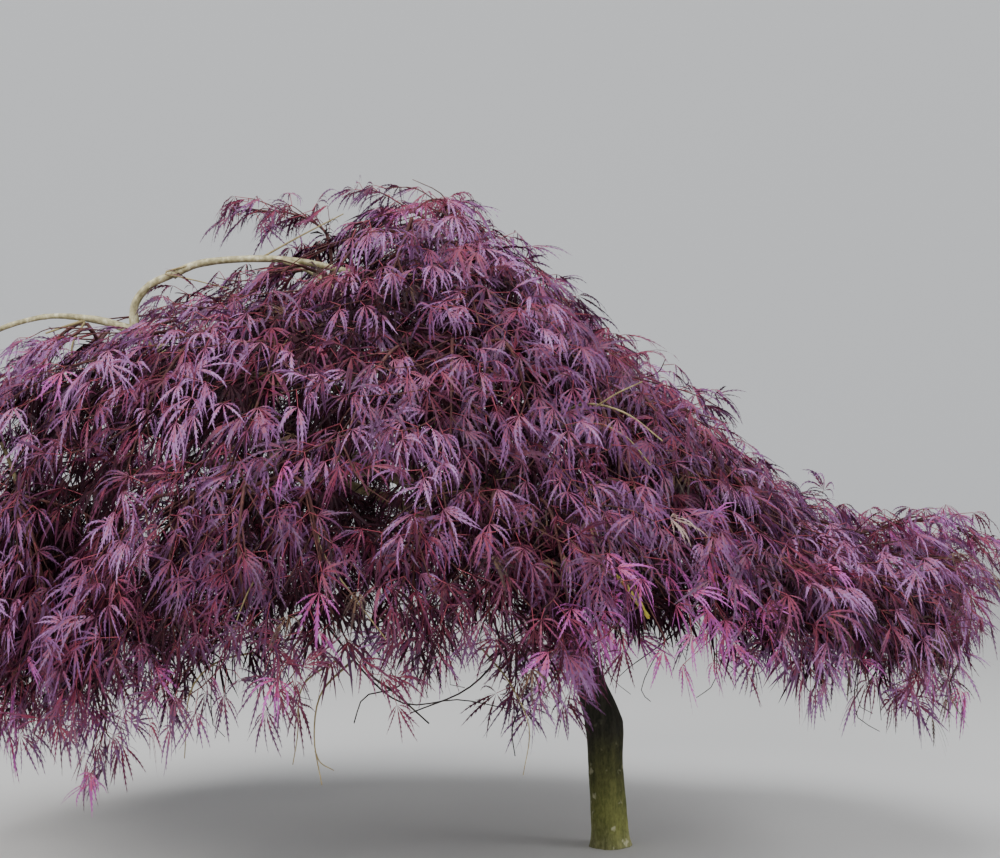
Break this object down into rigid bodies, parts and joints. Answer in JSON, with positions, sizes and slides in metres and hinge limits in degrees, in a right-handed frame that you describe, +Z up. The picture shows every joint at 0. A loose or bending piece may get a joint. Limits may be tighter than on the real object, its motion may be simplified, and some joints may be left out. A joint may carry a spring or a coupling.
{
  "type": "weeping laceleaf maple",
  "caption": "Small weeping laceleaf maple with a leaning trunk, arching boughs and a cascading mound of finely cut purple foliage.",
  "frame": {"origin": "middle of the flat cut under the trunk, at ground level", "axes": "+Z up, front of the tree faces -Y, crown leans towards -X and is longest along X"},
  "size_m": [1.6695, 1.3975, 1.0018],
  "materials": {
    "bark": "matte",
    "young_bark": "satin",
    "leaves": "matte"
  },
  "bodies": {
    "root": {"trunk": "bark", "bough_left": "young_bark", "bough_left_arm": "young_bark", "bough_left_riser": "young_bark", "bough_left_arch": "young_bark", "bough_left_side": "young_bark", "bough_top_1": "young_bark", "bough_top_2": "young_bark", "bough_top_3": "young_bark", "bough_top_5": "young_bark", "bough_middle_1": "young_bark", "bough_middle_2": "young_bark", "bough_middle_3": "young_bark", "bough_middle_4": "young_bark", "bough_middle_5": "young_bark", "bough_middle_6": "young_bark", "bough_middle_7": "young_bark", "bough_middle_8": "young_bark", "bough_skirt_1": "young_bark", "bough_skirt_2": "young_bark", "bough_skirt_3": "young_bark", "bough_skirt_4": "young_bark", "bough_skirt_5": "young_bark", "bough_skirt_7": "young_bark", "bough_skirt_8": "young_bark", "bough_skirt_9": "young_bark", "foliage_crown": "leaves", "foliage_top_1": "leaves", "foliage_top_2": "leaves", "foliage_top_3": "leaves", "foliage_top_4": "leaves", "foliage_top_5": "leaves", "foliage_middle_1": "leaves", "foliage_middle_2": "leaves", "foliage_middle_3": "leaves", "foliage_middle_4": "leaves", "foliage_middle_5": "leaves", "foliage_middle_6": "leaves", "foliage_middle_7": "leaves", "foliage_middle_8": "leaves", "foliage_skirt_1": "leaves", "foliage_skirt_2": "leaves", "foliage_skirt_3": "leaves", "foliage_skirt_4": "leaves", "foliage_skirt_5": "leaves", "foliage_skirt_6": "leaves", "foliage_skirt_7": "leaves", "foliage_skirt_8": "leaves", "foliage_skirt_9": "leaves"}
  },
  "joints": []
}
